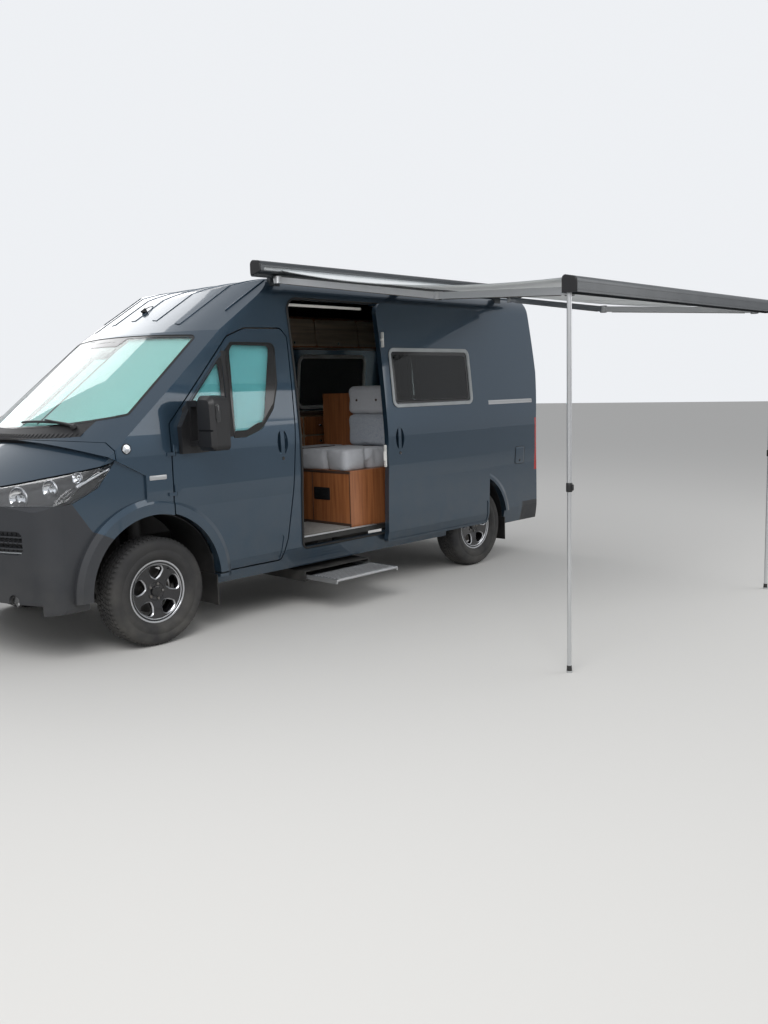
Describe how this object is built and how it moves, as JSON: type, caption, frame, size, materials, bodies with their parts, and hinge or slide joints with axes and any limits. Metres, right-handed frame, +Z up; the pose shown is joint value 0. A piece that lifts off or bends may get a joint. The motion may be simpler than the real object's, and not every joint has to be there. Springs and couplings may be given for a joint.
{
  "type": "high-roof camper van with side awning",
  "caption": "High-roof camper van with opening cab, rear, bonnet and vent lids, steered rolling wheels, slide-out step and an extended side awning on folding legs.",
  "frame": {"origin": "on the ground under the middle of the whole object, awning included", "axes": "+X to the rear of the van, +Y to its right-hand side, +Z up"},
  "size_m": [5.418, 4.8225, 2.584],
  "materials": {
    "paint": "metallic blue grey paint, clear coat",
    "bumper_plastic": "grained dark grey plastic",
    "black_plastic": "satin black",
    "glass": "clear safety glass",
    "acrylic": "grey tinted acrylic",
    "lamp": "clear lamp cover",
    "tail_lamp": "red and amber lens",
    "blind": "pleated pale blind",
    "tyre": "black rubber",
    "alloy": "black alloy with machined edges",
    "steel": "dark chassis metal",
    "floor": "underbody coating",
    "wood": "brown furniture board",
    "light_board": "pale laminate",
    "cushion": "grey woven upholstery",
    "seat_fabric": "dark grey seat cloth",
    "anthracite": "anthracite coated aluminium",
    "awning_cloth": "light grey coated cloth",
    "bare_aluminium": "anodised aluminium"
  },
  "bodies": {
    "van_body": {"arch_liners": "black_plastic", "awning_arms": "bare_aluminium", "awning_case": "anthracite", "awning_cloth": "awning_cloth", "awning_lead_rail": "anthracite", "bumpers": "bumper_plastic", "cab_fittings": "black_plastic", "cab_seats": "seat_fabric", "cowl": "black_plastic", "engine": "steel", "floor_pan": "floor", "front_subframe": "steel", "headlamps": "lamp", "high_roof": "paint", "kitchen_and_table": "light_board", "rear_axle": "steel", "side_wall_left": "paint", "side_wall_right": "paint", "side_windows": "acrylic", "slide_rail": "bare_aluminium", "sliding_door": "paint", "soft_furnishing": "cushion", "tail_lamps": "tail_lamp", "underfloor_gear": "steel", "windscreen": "glass", "windscreen_blind": "blind", "wings": "paint", "wood_furniture": "wood"},
    "knuckle_left": {"knuckle_left": "steel"},
    "cab_door_left": {"cab_door_left": "paint", "cab_door_glass_left": "glass", "cab_door_blind_left": "blind", "mirror_left": "black_plastic"},
    "rear_door_left": {"rear_door_left": "paint", "rear_door_glass_left": "glass"},
    "knuckle_right": {"knuckle_right": "steel"},
    "cab_door_right": {"cab_door_right": "paint", "cab_door_glass_right": "glass", "cab_door_blind_right": "blind", "mirror_right": "black_plastic"},
    "rear_door_right": {"rear_door_right": "paint", "rear_door_glass_right": "glass"},
    "wheel_front_left": {"tyre_front_left": "tyre", "rim_front_left": "alloy"},
    "wheel_front_right": {"tyre_front_right": "tyre", "rim_front_right": "alloy"},
    "wheel_rear_left": {"tyre_rear_left": "tyre", "rim_rear_left": "alloy"},
    "wheel_rear_right": {"tyre_rear_right": "tyre", "rim_rear_right": "alloy"},
    "bonnet": {"bonnet": "paint"},
    "entry_step": {"step_plate": "bare_aluminium"},
    "vent_lid": {"vent_lid": "black_plastic"},
    "leg_front_upper": {"awning_leg_front_upper": "bare_aluminium"},
    "leg_front_lower": {"awning_leg_front_lower": "bare_aluminium"},
    "leg_rear_upper": {"awning_leg_rear_upper": "bare_aluminium"},
    "leg_rear_lower": {"awning_leg_rear_lower": "bare_aluminium"}
  },
  "joints": [
    {"name": "steer_left", "type": "hinge", "parent": "van_body", "child": "knuckle_left", "pos_m": [-1.761, 0.33573, 0.362], "axis": [0, 0, 1], "range_deg": [-33, 33]},
    {"name": "steer_right", "type": "hinge", "parent": "van_body", "child": "knuckle_right", "pos_m": [-1.761, 1.82573, 0.362], "axis": [0, 0, 1], "range_deg": [-33, 33]},
    {"name": "spin_front_left", "type": "hinge", "parent": "knuckle_left", "child": "wheel_front_left", "pos_m": [-1.761, 0.17573, 0.362], "axis": [0, 1, 0], "continuous": true},
    {"name": "spin_front_right", "type": "hinge", "parent": "knuckle_right", "child": "wheel_front_right", "pos_m": [-1.761, 1.98573, 0.362], "axis": [0, 1, 0], "continuous": true},
    {"name": "spin_rear_left", "type": "hinge", "parent": "van_body", "child": "wheel_rear_left", "pos_m": [1.689, 0.19573, 0.362], "axis": [0, 1, 0], "continuous": true},
    {"name": "spin_rear_right", "type": "hinge", "parent": "van_body", "child": "wheel_rear_right", "pos_m": [1.689, 1.96573, 0.362], "axis": [0, 1, 0], "continuous": true},
    {"name": "open_cab_door_left", "type": "hinge", "parent": "van_body", "child": "cab_door_left", "pos_m": [-1.601, 0.05373, 0.9], "axis": [0, 0, -1], "range_deg": [0, 70]},
    {"name": "open_cab_door_right", "type": "hinge", "parent": "van_body", "child": "cab_door_right", "pos_m": [-1.601, 2.10773, 0.9], "axis": [0, 0, 1], "range_deg": [0, 70]},
    {"name": "open_rear_door_left", "type": "hinge", "parent": "van_body", "child": "rear_door_left", "pos_m": [2.701, 0.30773, 1.4], "axis": [0, 0, -1], "range_deg": [0, 180]},
    {"name": "open_rear_door_right", "type": "hinge", "parent": "van_body", "child": "rear_door_right", "pos_m": [2.701, 1.85373, 1.4], "axis": [0, 0, 1], "range_deg": [0, 180]},
    {"name": "open_bonnet", "type": "hinge", "parent": "van_body", "child": "bonnet", "pos_m": [-2.011, 1.08073, 1.56], "axis": [0, 1, 0], "range_deg": [0, 52]},
    {"name": "slide_step", "type": "slide", "parent": "van_body", "child": "entry_step", "axis": [0, 1, 0], "range_m": [0, 0.3]},
    {"name": "open_vent_lid", "type": "hinge", "parent": "van_body", "child": "vent_lid", "pos_m": [1.664, 1.08073, 2.55], "axis": [0, 1, 0], "range_deg": [0, 60]},
    {"name": "fold_leg_front", "type": "hinge", "parent": "van_body", "child": "leg_front_upper", "pos_m": [-0.611, -2.34127, 2.168], "axis": [0, -1, 0], "range_deg": [0, 90]},
    {"name": "telescope_leg_front", "type": "slide", "parent": "leg_front_upper", "child": "leg_front_lower", "axis": [0, 0, 1], "range_m": [0, 0.88]},
    {"name": "fold_leg_rear", "type": "hinge", "parent": "van_body", "child": "leg_rear_upper", "pos_m": [2.199, -2.38327, 2.168], "axis": [0, 1, 0], "range_deg": [0, 90]},
    {"name": "telescope_leg_rear", "type": "slide", "parent": "leg_rear_upper", "child": "leg_rear_lower", "axis": [0, 0, 1], "range_m": [0, 0.88]}
  ],
  "couplings": [
    {"joint": "steer_right", "follows": "steer_left", "ratio": 1}
  ]
}
